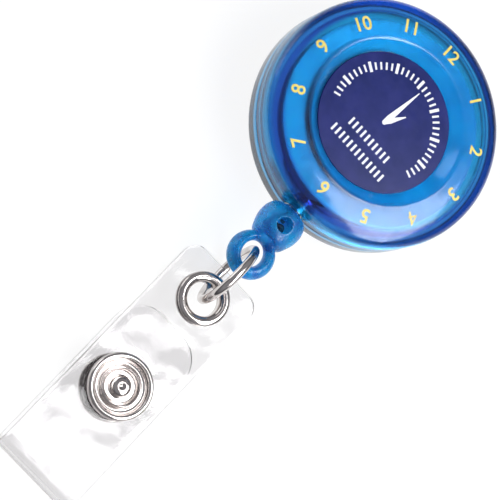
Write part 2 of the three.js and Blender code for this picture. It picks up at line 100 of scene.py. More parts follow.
WALL = 1.2
CROWN_R = 10.75
LIP_R = 10.05
LIP_Z = CROWN_Z - 0.5
RECESS_R = 9.15
SHOULDER_Z = CROWN_Z - 2.25
STEP_R = 15.4
STEP_HEIGHT = 0.9
CORD_R = 0.35
CORD_PITCH = 0.75
CORD_LEAVES_CASE = -15.7
CORD_ENTERS_CONNECTOR = -16.7
CORD_LAY = 2.4
CORD_STRANDS = 3
COIL_IN_R = 8.3
LAYERS = 5
TURNS_PER_LAYER = 3
VINYL = 0.6
STEEL = 0.6
NUMERAL_R = 12.61
NUMERAL_HEIGHT = 1.85
PRINT = 0.03
WIRE_R = 0.13
CAPITAL_HEIGHT = 0.73
DIAL_TURN = math.radians(-0.65)
TRACK_R = 7.2
DASH_PITCH = 0.74
LONGEST_INK_EDGE = 0.45
RIVET_HOLE_R = 1.2
PLATE_CORNER_R = 3
TONGUE_CORNER_R = 4.5
KNOT_Y = -18.9


# ---- Camera ----

CAMERA_AZIMUTH = math.radians(-29.26)
CAMERA_ELEVATION = math.radians(68.43)
CAMERA_ROLL = math.radians(74.72)
CAMERA_DISTANCE = 300
REEL_OFFSET = (14.48, 15.43)
FOCAL_LENGTH = 167.7


def add_camera():
    """Looks down on the reel from its 7 o'clock side, with the reel at the picture's upper right."""
    across = Vector((math.cos(CAMERA_AZIMUTH), math.sin(CAMERA_AZIMUTH), 0))
    back = toward(CAMERA_AZIMUTH, CAMERA_ELEVATION)
    up = back.cross(across)
    x = math.cos(CAMERA_ROLL) * across + math.sin(CAMERA_ROLL) * up
    y = math.cos(CAMERA_ROLL) * up - math.sin(CAMERA_ROLL) * across
    place = CAMERA_DISTANCE * back - REEL_OFFSET[0] * x - REEL_OFFSET[1] * y + Vector((0, 0, BACK_Z))
    camera = bpy.data.objects.new("camera", bpy.data.cameras.new("camera"))
    camera.data.lens = FOCAL_LENGTH
    camera.data.clip_start = 0.01
    camera.matrix_world = Matrix.Translation(place * MM) @ Matrix((x, y, back)).transposed().to_4x4()
    bpy.context.scene.collection.objects.link(camera)
    bpy.context.scene.camera = camera


def toward(azimuth, elevation):
    """The direction at an azimuth, from -Y towards +X, and an elevation."""
    flat = math.cos(elevation)
    return Vector((math.sin(azimuth) * flat, -math.cos(azimuth) * flat, math.sin(elevation)))


# ---- Meshes ----


def new_object(name, bm):
    """An object of a bmesh. It stays in millimetres until finish."""
    bmesh.ops.recalc_face_normals(bm, faces=bm.faces)
    mesh = bpy.data.meshes.new(name)
    bm.to_mesh(mesh)
    bm.free()
    obj = bpy.data.objects.new(name, mesh)
    bpy.context.scene.collection.objects.link(obj)
    return obj


def baked(obj):
    """Writes the modifiers into the mesh."""
    bpy.context.view_layer.update()
    shaped = obj.evaluated_get(bpy.context.evaluated_depsgraph_get())
    mesh = bpy.data.meshes.new_from_object(shaped)
    obj.modifiers.clear()
    obj.data = mesh
    return obj


def cut(obj, *tools, operation="DIFFERENCE"):
    """Cuts tools out of obj, or joins them to it, and removes the tools."""
    for tool in tools:
        step = obj.modifiers.new("cut", "BOOLEAN")
        step.operation = operation
        step.solver = "EXACT"
        step.object = tool
    baked(obj)
    for tool in tools:
        bpy.data.objects.remove(tool)
    return obj


def finish(obj, material, body=None, nodes=(), sharp=35):
    """Turns a piece into metres and gives it its material, its body and the nodes that it stands for."""
    obj.data.transform(Matrix.Scale(MM, 4))
    obj.data.materials.clear()
    obj.data.materials.append(material)
    obj.data.shade_smooth()
    obj.data.set_sharp_from_angle(angle=math.radians(sharp))
    if body:
        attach(obj, body)
    if nodes:
        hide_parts(*nodes)
    return obj


def lathe(name, profile, segments=128, centre=(0, 0, 0)):
    """A body turned about Z from (radius, z) points. The profile starts and ends on the axis, or closes."""
    bm = bmesh.new()
    rings = []
    for radius, z in profile:
        count = segments if radius > 1e-6 else 1
        angles = [2 * math.pi * i / segments for i in range(count)]
        rings.append([bm.verts.new((radius * math.cos(a), radius * math.sin(a), z)) for a in angles])
    if profile[0][0] > 1e-6:
        rings.append(rings[0])
    for low, high in zip(rings, rings[1:]):
        for i in range(segments):
            lower = [low[i % len(low)], low[(i + 1) % len(low)]]
            upper = [high[(i + 1) % len(high)], high[i % len(high)]]
            unique = list(dict.fromkeys(lower + upper))
            if len(unique) > 2:
                bm.faces.new(unique)
    bmesh.ops.translate(bm, verts=bm.verts, vec=centre)
    return new_object(name, bm)


def lathe_on_cord(name, profile, segments=96):
    """The same about the cord's line, where the second number is the distance along -Y."""
    obj = lathe(name, profile, segments)
    obj.data.transform(Matrix.Translation((0, 0, CORD_Z)) @ Matrix.Rotation(math.pi / 2, 4, "X"))
    return obj


def rod(name, radius, start, end, segments=48):
    """A round rod between two points."""
    axis = Vector(end) - Vector(start)
    obj = lathe(name, [(0, 0), (radius, 0), (radius, axis.length), (0, axis.length)], segments)
    obj.data.transform(Matrix.Translation(start) @ axis.to_track_quat("Z", "Y").to_matrix().to_4x4())
    return obj


def rounded(points, steps=5):
    """A profile whose corners are rounded. A point is (radius, z) or (radius, z, corner radius)."""
    line = []
    for i, point in enumerate(points):
        here = Vector(point[:2])
        if len(point) < 3 or i in (0, len(points) - 1):
            line.append(tuple(here))
            continue
        before = Vector(points[i - 1][:2]) - here
        after = Vector(points[i + 1][:2]) - here
        reach = min(point[2], 0.49 * before.length, 0.49 * after.length)
        start, end = here + before.normalized() * reach, here + after.normalized() * reach
        for k in range(steps + 1):
            t = k / steps
            line.append(tuple(start * (1 - t) ** 2 + here * 2 * t * (1 - t) + end * t ** 2))
    return line


def through(points, steps=8):
    """A smooth line through the points, in two or three dimensions."""
    knots = [Vector(p) for p in points]
    knots = [2 * knots[0] - knots[1], *knots, 2 * knots[-1] - knots[-2]]
    line = []
    for a, b, c, d in zip(knots, knots[1:], knots[2:], knots[3:]):
        for k in range(steps):
            t = k / steps
            line.append(0.5 * (2 * b + (c - a) * t + (2 * a - 5 * b + 4 * c - d) * t ** 2
                               + (3 * b - a - 3 * c + d) * t ** 3))
    return [*line, knots[-2]]


def arc(cx, cy, radius, start, end, steps):
    """Points on an arc, both ends included. Angles are in degrees."""
    angles = [math.radians(start + (end - start) * i / steps) for i in range(steps + 1)]
    return [(cx + radius * math.cos(a), cy + radius * math.sin(a)) for a in angles]


def tube(name, line, radius_at, sides):
    """A tube along a line of points. radius_at(distance, angle) gives its radius."""
    bm = bmesh.new()
    side = Vector((0, 0, 1))
    rings, distance = [], 0
    for i, point in enumerate(line):
        along = (line[min(i + 1, len(line) - 1)] - line[max(i - 1, 0)]).normalized()
        side = (side - along * side.dot(along)).normalized()
        other = along.cross(side)
        distance += (point - line[i - 1]).length if i else 0
        ring = []
        for k in range(sides):
            angle = 2 * math.pi * k / sides
            radius = radius_at(distance, angle)
            ring.append(bm.verts.new(point + radius * (math.cos(angle) * side + math.sin(angle) * other)))
        rings.append(ring)
    for low, high in zip(rings, rings[1:]):
        for k in range(sides):
            bm.faces.new([low[k], low[(k + 1) % sides], high[(k + 1) % sides], high[k]])
    bm.faces.new(rings[0])
    bm.faces.new(rings[-1])
    return new_object(name, bm)


def band(name, centreline, width_at, thickness, edge, columns):
    """A bent strip along a line of (y, z) points, of even thickness. edge is the radius of its long edges.

    width_at(distance, length) gives its width there.
    """
    points = [Vector(p) for p in centreline]
    distances = [0]
    for before, after in zip(points, points[1:]):
        distances.append(distances[-1] + (after - before).length)
    bm = bmesh.new()
    rows = []
    for i, point in enumerate(points):
        along = (points[min(i + 1, len(points) - 1)] - points[max(i - 1, 0)]).normalized()
        out = Vector((-along.y, along.x))
        half = width_at(distances[i], distances[-1]) / 2
        flat = half - edge
        section = [(-flat + 2 * flat * k / columns, thickness / 2) for k in range(columns + 1)]
        section += arc(half - edge, thickness / 2 - edge, edge, 90, 0, 4)[1:]
        section += arc(half - edge, edge - thickness / 2, edge, 0, -90, 4)
        section += [(flat - 2 * flat * k / columns, -thickness / 2) for k in range(1, columns + 1)]
        section += arc(edge - half, edge - thickness / 2, edge, 270, 180, 4)[1:]
        section += arc(edge - half, thickness / 2 - edge, edge, 180, 90, 4)[:-1]
        row = []
        for x, offset in section:
            place = point + out * offset
            row.append(bm.verts.new((x, place.x, place.y)))
        rows.append(row)
    count = len(rows[0])
    for low, high in zip(rows, rows[1:]):
        for k in range(count):
            bm.faces.new([low[k], low[(k + 1) % count], high[(k + 1) % count], high[k]])
    bm.faces.new(rows[0])
    bm.faces.new(rows[-1])
    bmesh.ops.remove_doubles(bm, verts=bm.verts, dist=1e-4)
    return new_object(name, bm)


def corner_steps(radius, count=10):
    """Distances from a strip's end at which its round corners are drawn."""
    return [radius * (1 - math.cos(math.pi / 2 * i / count)) for i in range(count + 1)]


def corner_width(distance, radius):
    """How much narrower a strip is, on each side, that far from an end whose corners are round."""
    if distance >= radius:
        return 0
    return radius - math.sqrt(max(radius ** 2 - (radius - distance) ** 2, 0))


# ---- Materials ----


class Material:
    """A Principled material and a few ways to give it detail. Lengths are in metres, except in step."""

    def __init__(self, name, **values):
        self.made = bpy.data.materials.new(name)
        self.made.use_nodes = True
        self.tree = self.made.node_tree
        self.shader = self.tree.nodes["Principled BSDF"]
        self.output = self.tree.nodes["Material Output"]
        for socket, value in values.items():
            self.shader.inputs[socket.replace("_", " ")].default_value = value
        self.place = self.node("ShaderNodeTexCoord").outputs["Object"]
        self.height = None

    def node(self, kind, **values):
        made = self.tree.nodes.new(kind)
        for key, value in values.items():
            if key in made.inputs:
                made.inputs[key].default_value = value
            else:
                setattr(made, key, value)
        return made

    def link(self, source, target):
        self.tree.links.new(source, target)

    def noise(self, size, detail=2.0, stretch=(1, 1, 1)):
        """Noise with features of about that size in metres."""
        mapping = self.node("ShaderNodeMapping", Scale=stretch)
        self.link(self.place, mapping.inputs["Vector"])
        made = self.node("ShaderNodeTexNoise", Scale=1 / size, Detail=detail)
        self.link(mapping.outputs[0], made.inputs["Vector"])
        return made.outputs["Fac"]

    def ramp(self, source, low, high, start=0.35, end=0.65):
        """Colours or greys from low to high as source goes from start to end."""
        ramp = self.node("ShaderNodeValToRGB")
        ramp.color_ramp.elements[0].position = start
        ramp.color_ramp.elements[1].position = end
        ramp.color_ramp.elements[0].color = low if isinstance(low, tuple) else (low, low, low, 1)
        ramp.color_ramp.elements[1].color = high if isinstance(high, tuple) else (high, high, high, 1)
        self.link(source, ramp.inputs["Fac"])
        return ramp.outputs["Color"]

    def drive(self, socket, source):
        self.link(source, self.shader.inputs[socket])

    def bump(self, source, distance, strength=1.0):
        """Adds a bump of that height in metres on top of those before it."""
        bump = self.node("ShaderNodeBump", Distance=distance, Strength=strength)
        self.link(source, bump.inputs["Height"])
        if self.height:
            self.link(self.height, bump.inputs["Normal"])
        self.height = bump.outputs["Normal"]
        self.link(self.height, self.shader.inputs["Normal"])

    def step(self, source, start, end):
        """Rises smoothly from 0 to 1 as source goes from start to end, up or down, in millimetres."""
        low, high, values = (start, end, (0, 1)) if start < end else (end, start, (1, 0))
        ends = {"From Min": low * MM, "From Max": high * MM, "To Min": values[0], "To Max": values[1]}
        made = self.node("ShaderNodeMapRange", interpolation_type="SMOOTHSTEP", **ends)
        self.link(source, made.inputs["Value"])
        return made.outputs["Result"]

    def times(self, first, second):
        made = self.node("ShaderNodeMath", operation="MULTIPLY")
        self.link(first, made.inputs[0])
        self.link(second, made.inputs[1])
        return made.outputs[0]

    def shoulder(self):
        """1 on the case's rounded shoulder and 0 elsewhere: the mask of a painted reflection."""
        split = self.node("ShaderNodeSeparateXYZ")
        self.link(self.place, split.inputs[0])
        flat = self.node("ShaderNodeCombineXYZ")
        self.link(split.outputs["X"], flat.inputs["X"])
        self.link(split.outputs["Y"], flat.inputs["Y"])
        radius = self.node("ShaderNodeVectorMath", operation="LENGTH")
        self.link(flat.outputs[0], radius.inputs[0])
        inside = self.step(radius.outputs["Value"], CASE_R, CASE_R - 0.4)
        outside = self.step(radius.outputs["Value"], CASE_R - 2.5, CASE_R - 1.7)
        above = self.step(split.outputs["Z"], SHOULDER_Z - 0.8, SHOULDER_Z)
        return self.times(self.times(inside, outside), above)

    def mix(self, factor, colour, other):
        """The colour, turning to the other one where factor is 1."""
        made = self.node("ShaderNodeMix", data_type="RGBA")
        self.link(factor, made.inputs["Factor"])
        self.link(colour, made.inputs[6])
        made.inputs[7].default_value = other
        return made.outputs[2]

    def pass_lamp_light(self, tint):
        """Lamps shine through, so that what lies behind is lit."""
        path = self.node("ShaderNodeLightPath")
        clear = self.node("ShaderNodeBsdfTransparent", Color=tint)
        mix = self.node("ShaderNodeMixShader")
        self.link(path.outputs["Is Shadow Ray"], mix.inputs["Fac"])
        self.link(self.shader.outputs[0], mix.inputs[1])
        self.link(clear.outputs[0], mix.inputs[2])
        self.link(mix.outputs[0], self.output.inputs["Surface"])

    def absorb(self, colour, density):
        volume = self.node("ShaderNodeVolumeAbsorption", Color=colour, Density=density)
        self.link(volume.outputs[0], self.output.inputs["Volume"])


def blue_plastic():
    m = Material("blue_plastic", Roughness=0.2, IOR=1.4, Transmission_Weight=1.0,
                 Coat_Weight=0.35, Coat_Roughness=0.08)
    clear = m.ramp(m.noise(0.004), (0.28, 0.78, 0.90, 1), (0.22, 0.70, 0.86, 1))
    # Painted reflection: the shoulder is coloured violet to stand in for the dark label reflected in it.
    m.drive("Base Color", m.mix(m.shoulder(), clear, (0.36, 0.2, 0.66, 1)))
    m.drive("Roughness", m.ramp(m.noise(0.0015), 0.15, 0.24))
    m.bump(m.noise(0.006, 1.0), 0.00006)
    m.bump(m.noise(0.0003, 3.0), 0.000004)
    m.absorb((0.1, 0.74, 0.9, 1), 900)
    m.pass_lamp_light((0.12, 0.6, 0.76, 1))
    return m.made


def connector_plastic():
    """The same plastic, less clear: the moulding is thick and its skin is uneven."""
    m = Material("connector_plastic", Roughness=0.25, IOR=1.4, Transmission_Weight=0.7)
    m.drive("Base Color", m.ramp(m.noise(0.0018, 3.0), (0.0, 0.34, 0.64, 1), (0.02, 0.12, 0.42, 1)))
    m.drive("Roughness", m.ramp(m.noise(0.001), 0.22, 0.38))
    m.bump(m.noise(0.0014, 2.0), 0.00022)
    m.pass_lamp_light((0.25, 0.7, 0.95, 1))
    return m.made


def navy_label():
    m = Material("navy_label", Roughness=0.3, Specular_IOR_Level=0.2)
    m.drive("Base Color", m.ramp(m.noise(0.003, 4.0), (0.012, 0.02, 0.12, 1), (0.02, 0.028, 0.16, 1)))
    m.drive("Roughness", m.ramp(m.noise(0.0008), 0.28, 0.42))
    m.bump(m.noise(0.00025, 2.0), 0.000004)
    return m.made


def ink(name, low, high):
    m = Material(name, Roughness=0.45)
    m.drive("Base Color", m.ramp(m.noise(0.0006, 3.0), low, high))
    m.bump(m.noise(0.0002, 2.0), 0.000006)
    return m.made


def white_plastic():
    m = Material("white_plastic", Roughness=0.4, Subsurface_Weight=0.15, Subsurface_Scale=0.001)
    m.drive("Base Color", m.ramp(m.noise(0.005), (0.66, 0.70, 0.74, 1), (0.72, 0.76, 0.79, 1)))
    m.bump(m.noise(0.0003, 2.0), 0.000008)
    return m.made


def nylon():
    m = Material("nylon_cord", Roughness=0.6, Sheen_Weight=0.3, Sheen_Roughness=0.4)
    m.drive("Base Color", m.ramp(m.noise(0.0002, 2.0), (0.02, 0.012, 0.02, 1), (0.055, 0.03, 0.045, 1)))
    m.bump(m.noise(0.00008, 2.0, (1, 0.3, 1)), 0.00003)
    return m.made


def nickel():
    m = Material("nickel", Metallic=1.0, Roughness=0.12)
    m.drive("Base Color", m.ramp(m.noise(0.002, 3.0), (0.55, 0.515, 0.50, 1), (0.70, 0.665, 0.65, 1)))
    m.drive("Roughness", m.ramp(m.noise(0.0007, 4.0), 0.06, 0.16))
    m.bump(m.noise(0.00015, 4.0, (1, 6, 1)), 0.000003)
    return m.made


def spring_steel():
    m = Material("spring_steel", Metallic=1.0, Roughness=0.3, Anisotropic=0.4)
    m.drive("Base Color", m.ramp(m.noise(0.003, 4.0), (0.5, 0.51, 0.53, 1), (0.62, 0.62, 0.63, 1)))
    m.drive("Roughness", m.ramp(m.noise(0.0006, 4.0, (8, 1, 1)), 0.22, 0.4))
    m.bump(m.noise(0.0002, 4.0, (12, 1, 1)), 0.000006)
    return m.made


def clear_vinyl():
    m = Material("clear_vinyl", Roughness=0.06, IOR=1.38, Transmission_Weight=1.0)
    m.drive("Base Color", m.ramp(m.noise(0.004), (0.94, 0.935, 0.94, 1), (0.97, 0.965, 0.97, 1)))
    m.drive("Roughness", m.ramp(m.noise(0.0012, 4.0), 0.03, 0.1))
    m.absorb((0.7, 0.692, 0.695, 1), 550)
    m.bump(m.noise(0.007, 1.5), 0.00035)
    m.bump(m.noise(0.0004, 3.0), 0.000006)
    m.pass_lamp_light((0.9, 0.9, 0.905, 1))
    return m.made


# ---- Case ----


def face_line():
    """The face, from the side wall over the crown to the lip of the recess, as (radius, z) points."""
    return through([
        (CASE_R, SHOULDER_Z),
        (CASE_R - 0.2, SHOULDER_Z + 0.7),
        (CASE_R - 0.75, SHOULDER_Z + 1.28),
        (CASE_R - 1.8, SHOULDER_Z + 1.75),
        (CASE_R - 3.4, CROWN_Z - 0.17),
        (CROWN_R + 0.4, CROWN_Z - 0.02),
        (CROWN_R, CROWN_Z),
        (CROWN_R - 0.35, CROWN_Z - 0.1),
        (LIP_R, LIP_Z),
    ])


def face_height(radius):
    """The face's height at a radius, from the crown to the recess."""
    if radius < LIP_R:
        return LABEL_Z
    line = face_line()
    for (r0, z0), (r1, z1) in zip(line, line[1:]):
        if r1 <= radius <= r0:
            return z0 + (z1 - z0) * (r0 - radius) / (r0 - r1)
    return LIP_Z


def front_shell(plastic):
    roof_z = post_high.z + 0.1
    inner_r = CASE_R - WALL
    under_step = PARTING_Z + STEP_HEIGHT + 0.06
    profile = rounded([
        (0, roof_z),
        (RECESS_R, roof_z, 0.3),
        (LIP_R + 1, LIP_Z - WALL, 0.4),
        (CASE_R - 2.8, CROWN_Z - WALL - 0.25, 0.8),
        (inner_r - 0.5, SHOULDER_Z + 0.4, 0.6),
        (inner_r, SHOULDER_Z - 0.6),
        (inner_r, under_step),
        (STEP_R, under_step),
        (STEP_R, PARTING_Z),
        (CASE_R - 0.12, PARTING_Z),
        (CASE_R, PARTING_Z + 0.12),
    ])
    profile += face_line()
    profile += rounded([
        (LIP_R, LIP_Z),
        (RECESS_R, LABEL_Z + 0.12, 0.1),
        (RECESS_R, LABEL_Z - 0.3),
        (0, LABEL_Z - 0.3),
    ])[1:]
    shell = lathe("front_shell", profile, 192)
    cut(shell, exit_hole())
    return finish(shell, plastic, "case", ["front_cover"], 28)


def exit_hole():
    return rod("exit_hole", bushing_high.x - 0.5, (0, -CASE_R - 1, CORD_Z), (0, 2 - CASE_R, CORD_Z))


def back_shell(plastic):
    inner_r = CASE_R - WALL
    floor_z = post_low.z
    profile = rounded([
        (0, BACK_Z),
        (CASE_R, BACK_Z, 1.1),
        (CASE_R, PARTING_Z - 0.12),
        (CASE_R - 0.12, PARTING_Z),
        (STEP_R - 0.06, PARTING_Z),
        (STEP_R - 0.06, PARTING_Z + STEP_HEIGHT),
        (inner_r, PARTING_Z + STEP_HEIGHT),
        (inner_r, floor_z, 0.5),
        (0, floor_z),
    ])
    shell = lathe("back_shell", profile, 192)
    rivet_hole = rod("rivet_hole", RIVET_HOLE_R, (0, 0, BACK_Z - 1), (0, 0, floor_z + 1))
    cut(shell, exit_hole(), rivet_hole)
    return finish(shell, plastic, "case", ["rear_cover"], 28)


def dial_label(navy):
    label = lathe("dial_label", rounded([
        (0, label_low.z),
        (LABEL_R, label_low.z),
        (LABEL_R, LABEL_Z, 0.08),
        (0, LABEL_Z),
    ]), 128)
    return finish(label, navy, "case", ["face_label"])


def printed(name, bm, material, thickness=PRINT):
    """Ink laid on the face: flat shapes in the XY plane, made fine, raised a little and closed below."""
    bmesh.ops.triangulate(bm, faces=bm.faces)
    for _ in range(4):
        long_edges = [e for e in bm.edges if e.calc_length() > LONGEST_INK_EDGE]
        if not long_edges:
            break
        bmesh.ops.subdivide_edges(bm, edges=long_edges, cuts=1)
        bmesh.ops.triangulate(bm, faces=bm.faces)
    below = list(bm.verts)
    raised = bmesh.ops.extrude_face_region(bm, geom=list(bm.faces), use_keep_orig=True)["geom"]
    above = {v for v in raised if isinstance(v, bmesh.types.BMVert)}
    for v in bm.verts:
        v.co.z = face_height(math.hypot(v.co.x, v.co.y)) + (thickness if v in above else -PRINT)
    obj = new_object(name, bm)
    return finish(obj, material, "case")


def text_shape(text, height):
    """A flat bmesh of generic numerals, centred on the origin."""
    curve = bpy.data.curves.new("numeral", "FONT")
    curve.body = text
    curve.align_x = "CENTER"
    curve.align_y = "CENTER"
    curve.size = height / CAPITAL_HEIGHT
    curve.offset = 0 if text == "4" else 0.02 * height  # the 4 would close up
    curve.resolution_u = 6
    carrier = bpy.data.objects.new("numeral", curve)
    bpy.context.scene.collection.objects.link(carrier)
    baked_mesh = bpy.data.meshes.new_from_object(carrier.evaluated_get(bpy.context.evaluated_depsgraph_get()))
    bpy.data.objects.remove(carrier)
    bm = bmesh.new()
    bm.from_mesh(baked_mesh)
    bmesh.ops.remove_doubles(bm, verts=bm.verts, dist=1e-4)
    low = Vector([min(v.co[i] for v in bm.verts) for i in range(3)])
    high = Vector([max(v.co[i] for v in bm.verts) for i in range(3)])
    bmesh.ops.translate(bm, verts=bm.verts, vec=-(low + high) / 2)
    return bm


def clock(angle):
    """The turn of the dial at a clock angle in degrees, with tops outward."""
    return Matrix.Rotation(DIAL_TURN - math.radians(angle), 4, "Z")


def add_to(whole, shape, turn):
    """Copies a flat shape into another, turned and moved."""
    shape.transform(turn)
    mesh = bpy.data.meshes.new("copy")
    shape.to_mesh(mesh)
    shape.free()
    whole.from_mesh(mesh)


def dial_numerals(yellow):
    whole = bmesh.new()
    for hour in range(1, 13):
        shape = text_shape(str(hour), NUMERAL_HEIGHT)
        add_to(whole, shape, clock(30 * hour) @ Matrix.Translation((0, NUMERAL_R, 0)))
    return printed("dial_numerals", whole, yellow)


def polygon(points):
    bm = bmesh.new()
    bm.faces.new([bm.verts.new((x, y, 0)) for x, y in points])
    return bm


def dash(width, height):
    x, y = width / 2, height / 2
    return polygon([(-x, -y), (x, -y), (x, y), (-x, y)])


def dial_marks(white):
    """A plain minute track and two rows of dashes."""
    whole = bmesh.new()
    for minute in range(42, 79):
        on_hour = minute % 5 == 0
        shape = dash(0.4 if on_hour else 0.26, 1.35 if on_hour else 0.95)
        add_to(whole, shape, clock(6 * minute) @ Matrix.Translation((0, TRACK_R, 0)))
    for y, count in ((-3.2, 10), (-5.45, 13)):
        for i in range(count):
            x = 0.2 + (i - (count - 1) / 2) * DASH_PITCH
            add_to(whole, dash(0.3, 1.15), clock(0) @ Matrix.Translation((x, y, 0)))
    return printed("dial_marks", whole, white)


def dial_hands(white):
    for name, length, half_width, angle, thickness in (
        ("minute_hand", 6.3, 0.4, 6, 2 * PRINT),
        ("hour_hand", 3.1, 0.36, 30, PRINT),
    ):
        outline = arc(0, 0, half_width * 0.8, 200, 340, 8)
        outline += [(half_width, 0.9), (0.06, length), (-0.06, length), (-half_width, 0.9)]
        hand = bmesh.new()
        add_to(hand, polygon(outline), clock(angle))
        printed(name, hand, white, thickness)


def cord_bushing(metal):
    inner, outer = -bushing_high.y, -bushing_low.y
    flange_r, barrel_r, bore_r = bushing_high.x, bushing_high.x - 0.6, 0.75
    ring = lathe_on_cord("cord_bushing", rounded([
        (bore_r + 0.5, inner),
        (flange_r, inner, 0.1),
        (flange_r, inner + 0.45, 0.1),
        (barrel_r, inner + 0.45),
        (barrel_r, outer, 0.2),
        (bore_r + 0.35, outer, 0.15),
        (bore_r, outer - 0.4, 0.2),
        (bore_r, inner + 0.5, 0.2),
    ]), 64)
    return finish(ring, metal, "case", ["exit_bushing"])


# ---- Belt clip ----


def belt_clip(steel):
    """One strip of spring steel: the plate under the case, the bend and the tongue."""
    plate_z = plate_high.z - STEEL / 2
    bend_y, bend_z = plate_high.y - plate_high.z / 2, plate_high.z / 2
    low_z = tongue_low.z + STEEL / 2
    end_y = tongue_low.y
    plate = [(plate_low.y + d, plate_z) for d in corner_steps(PLATE_CORNER_R)]
    plate += [(plate_low.y + PLATE_CORNER_R + d, plate_z) for d in range(1, 17)]
    bend = arc(bend_y, bend_z, bend_z - STEEL / 2, 90, -90, 24)
    flat = [(bend_y - d, low_z) for d in range(1, 17)]
    grip = through([
        (-6, low_z),
        (-8.5, low_z + 0.55),
        (-11, low_z + 1.35),
        (-12.5, low_z + 1.2),
        (end_y + 0.02, low_z + 0.55),
    ], 10)
    width = plate_high.x - plate_low.x

    def width_at(distance, length):
        narrower = corner_width(distance, PLATE_CORNER_R) + corner_width(length - distance, TONGUE_CORNER_R)
        return width - 2 * narrower

    strip = band("belt_clip", [*plate, *bend, *flat, *grip], width_at, STEEL, 0.15, 12)
    cut(strip, rod("rivet_hole", RIVET_HOLE_R, (0, 0, plate_z - 1), (0, 0, plate_z + 1)))
    finish(strip, steel, nodes=["clip_plate", "clip_tongue"])
    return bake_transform(strip)


def rivet(metal):
    head_z = plate_high.z - STEEL
    top = post_low.z
    piece = lathe("rivet", rounded([
        (0, rivet_low.z),
        (1.7, rivet_low.z, 0.4),
        (rivet_high.x, head_z - 0.2, 0.2),
        (rivet_high.x, head_z, 0.05),
        (1.1, head_z),
        (1.1, top),
        (1.35, top, 0.1),
        (1.35, rivet_high.z, 0.2),
        (0, rivet_high.z),
    ]), 64)
    return finish(piece, metal, "case", ["clip_rivet"])


# ---- Spool, spring and cord ----


def spool(white):
    z0, z1, flange = spool_low.z, spool_high.z, 0.45
    piece = lathe("spool", rounded([
        (7.0, z0),
        (spool_high.x, z0, 0.15),
        (spool_high.x, z0 + flange, 0.15),
        (7.55, z0 + flange, 0.2),
        (7.55, z1 - flange, 0.2),
        (spool_high.x, z1 - flange, 0.15),
        (spool_high.x, z1, 0.15),
        (2.15, z1, 0.1),
        (2.15, z1 - flange),
        (7.0, z1 - flange, 0.2),
    ]), 160)
    return finish(piece, white, "spool", ["cord_spool"])


def spring_lid(white):
    lid = lathe("spring_lid", rounded([
        (2.3, lid_low.z),
        (lid_high.x, lid_low.z, 0.05),
        (lid_high.x, lid_high.z, 0.05),
        (2.3, lid_high.z, 0.05),
    ]), 96)
    return finish(lid, white, "spool", ["spring_cover"])


def spool_post(white):
    """The post, with a slot that holds the spring's inner end."""
    post = lathe("spool_post", rounded([
        (0, post_low.z + 0.55),
        (1.45, post_low.z + 0.55),
        (1.45, post_low.z),
        (post_high.x, post_low.z, 0.1),
        (post_high.x, post_high.z, 0.3),
        (0, post_high.z),
    ]), 64)
    slot = bmesh.new()
    bmesh.ops.create_cube(slot, size=1)
    slot_size = (0.6, 6, 2 * (post_high.z - spool_low.z) - 0.5, 1)
    slot.transform(Matrix.Translation((0, 0, post_high.z)) @ Matrix.Diagonal(slot_size))
    cut(post, new_object("slot", slot))
    return finish(post, white, "case", ["spindle"])


def power_spring(steel):
    """A flat spiral strip whose inner end is bent into the post's slot."""
    turns, steps = 7, 64
    inner_r, outer_r, half_thick = 2.4, 6.8, 0.075
    line = [Vector((0, 0.7 + 0.1 * i, 0)) for i in range(15)]
    for i in range(1, turns * steps + 1):
        angle = math.pi / 2 + 2 * math.pi * i / steps
        radius = inner_r + (outer_r - inner_r) * i / (turns * steps)
        line.append(Vector((radius * math.cos(angle), radius * math.sin(angle), 0)))
    bm = bmesh.new()
    rows = []
    for i, point in enumerate(line):
        along = (line[min(i + 1, len(line) - 1)] - line[max(i - 1, 0)]).normalized()
        out = Vector((along.y, -along.x, 0)) * half_thick
        corners = [(out, spring_low.z), (-out, spring_low.z), (-out, spring_high.z), (out, spring_high.z)]
        rows.append([bm.verts.new(point + side + Vector((0, 0, z))) for side, z in corners])
    for low, high in zip(rows, rows[1:]):
        for k in range(4):
            bm.faces.new([low[k], low[(k + 1) % 4], high[(k + 1) % 4], high[k]])
    bm.faces.new(rows[0])
    bm.faces.new(rows[-1])
    return finish(new_object("power_spring", bm), steel, "spool", ["spiral_spring"])


LEAD_BEND = Vector((0.9, -13.6, CORD_Z))
COIL_OUT_R = COIL_IN_R + (LAYERS - 1) * CORD_PITCH


def lead_angle():
    """The angle round the spool at which the cord leaves the winding, on a tangent to its bend."""
    flat = math.hypot(LEAD_BEND.x, LEAD_BEND.y)
    return math.atan2(LEAD_BEND.y, LEAD_BEND.x) + math.acos(COIL_OUT_R / flat)


def twisted(radius, strands, lay):
    """The radius of a cord of twisted strands, which repeat every lay."""
    def radius_at(distance, angle):
        return radius * (0.93 + 0.07 * math.cos(strands * (angle - 2 * math.pi * distance / lay)))
    return radius_at


def cord_winding(fibre):
    line, steps = [], 72
    turns = LAYERS * TURNS_PER_LAYER
    for i in range(turns * steps + 1):
        turn = i / steps
        layer = min(int(turn / TURNS_PER_LAYER), LAYERS - 1)
        in_layer = turn - layer * TURNS_PER_LAYER
        climb = min(in_layer * 6, 1) - 1 if layer else 0
        radius = COIL_IN_R + (layer + climb) * CORD_PITCH
        across = (in_layer - TURNS_PER_LAYER / 2) * CORD_PITCH * (1 if layer % 2 == 0 else -1)
        angle = lead_angle() - 2 * math.pi * turn
        line.append(Vector((radius * math.cos(angle), radius * math.sin(angle), CORD_Z + across)))
    coil = tube("cord_winding", line, twisted(CORD_R, CORD_STRANDS, CORD_LAY), 12)
    return finish(coil, fibre, "spool", ["cord_coil"], 80)


